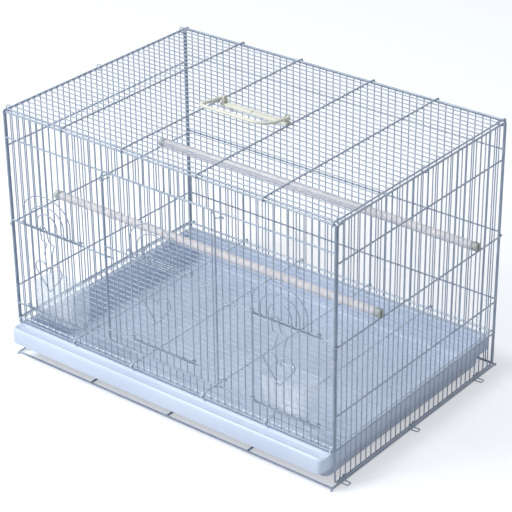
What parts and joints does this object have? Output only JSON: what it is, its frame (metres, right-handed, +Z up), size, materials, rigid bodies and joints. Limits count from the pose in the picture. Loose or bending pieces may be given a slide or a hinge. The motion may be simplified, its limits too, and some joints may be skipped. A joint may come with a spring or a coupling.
{
  "type": "bird cage",
  "caption": "Wire breeding cage for small birds with a pull-out tray, a swinging main door, lift-up arched doors, seed cups, perches and a folding handle.",
  "frame": {"origin": "middle of the whole footprint, tray lip and base loops included, on the surface the cage stands on", "axes": "+X to the right of someone facing the front, +Y from the front to the back, +Z up"},
  "size_m": [0.6394, 0.4502, 0.4434],
  "materials": {
    "coated_wire": "smooth pale coating",
    "tray": "moulded, soft shine",
    "handle": "moulded, soft shine",
    "perch": "moulded, satin",
    "perch_cap": "moulded, satin",
    "clear_cup": "clear, glossy"
  },
  "bodies": {
    "cage": {"front_panel": "coated_wire", "back_panel": "coated_wire", "left_side_panel": "coated_wire", "right_side_panel": "coated_wire", "top_panel": "coated_wire", "floor_grate": "coated_wire", "base_frame": "coated_wire", "top_loop_left_front": "coated_wire", "top_loop_left_middle": "coated_wire", "top_loop_left_back": "coated_wire", "top_loop_right_front": "coated_wire", "top_loop_right_middle": "coated_wire", "top_loop_right_back": "coated_wire", "base_loop_left_front": "coated_wire", "base_loop_left_middle": "coated_wire", "base_loop_left_back": "coated_wire", "base_loop_right_front": "coated_wire", "base_loop_right_middle": "coated_wire", "base_loop_right_back": "coated_wire", "perch_front": "perch", "perch_back": "perch", "perch_front_cap_left": "perch_cap", "perch_front_cap_right": "perch_cap", "perch_back_cap_left": "perch_cap", "perch_back_cap_right": "perch_cap", "handle_base": "handle"},
    "tray": {"tray": "tray"},
    "main_door": {"main_door": "coated_wire"},
    "middle_door": {"middle_door": "coated_wire"},
    "left_door": {"left_door": "coated_wire"},
    "right_door": {"right_door": "coated_wire"},
    "left_cup": {"left_cup": "clear_cup"},
    "right_cup": {"right_cup": "clear_cup"},
    "handle_bail": {"handle_bail": "handle"}
  },
  "joints": [
    {"name": "tray_slide", "type": "slide", "parent": "cage", "child": "tray", "axis": [0, -1, 0], "range_m": [0, 0.4]},
    {"name": "main_door_hinge", "type": "hinge", "parent": "cage", "child": "main_door", "pos_m": [0.11079, -0.20105, 0.2375], "axis": [0, 0, 1], "range_deg": [0, 100]},
    {"name": "middle_door_lift", "type": "slide", "parent": "main_door", "child": "middle_door", "axis": [0, 0, 1], "range_m": [0, 0.11]},
    {"name": "left_door_lift", "type": "slide", "parent": "cage", "child": "left_door", "axis": [0, 0, 1], "range_m": [0, 0.12]},
    {"name": "right_door_lift", "type": "slide", "parent": "cage", "child": "right_door", "axis": [0, 0, 1], "range_m": [0, 0.12]},
    {"name": "left_cup_lift", "type": "slide", "parent": "cage", "child": "left_cup", "axis": [0, 0, 1], "range_m": [0, 0.02]},
    {"name": "right_cup_lift", "type": "slide", "parent": "cage", "child": "right_cup", "axis": [0, 0, 1], "range_m": [0, 0.02]},
    {"name": "handle_turn", "type": "hinge", "parent": "cage", "child": "handle_bail", "pos_m": [0.00459, 0.00795, 0.4329], "axis": [-1, 0, 0], "range_deg": [0, 164]}
  ]
}
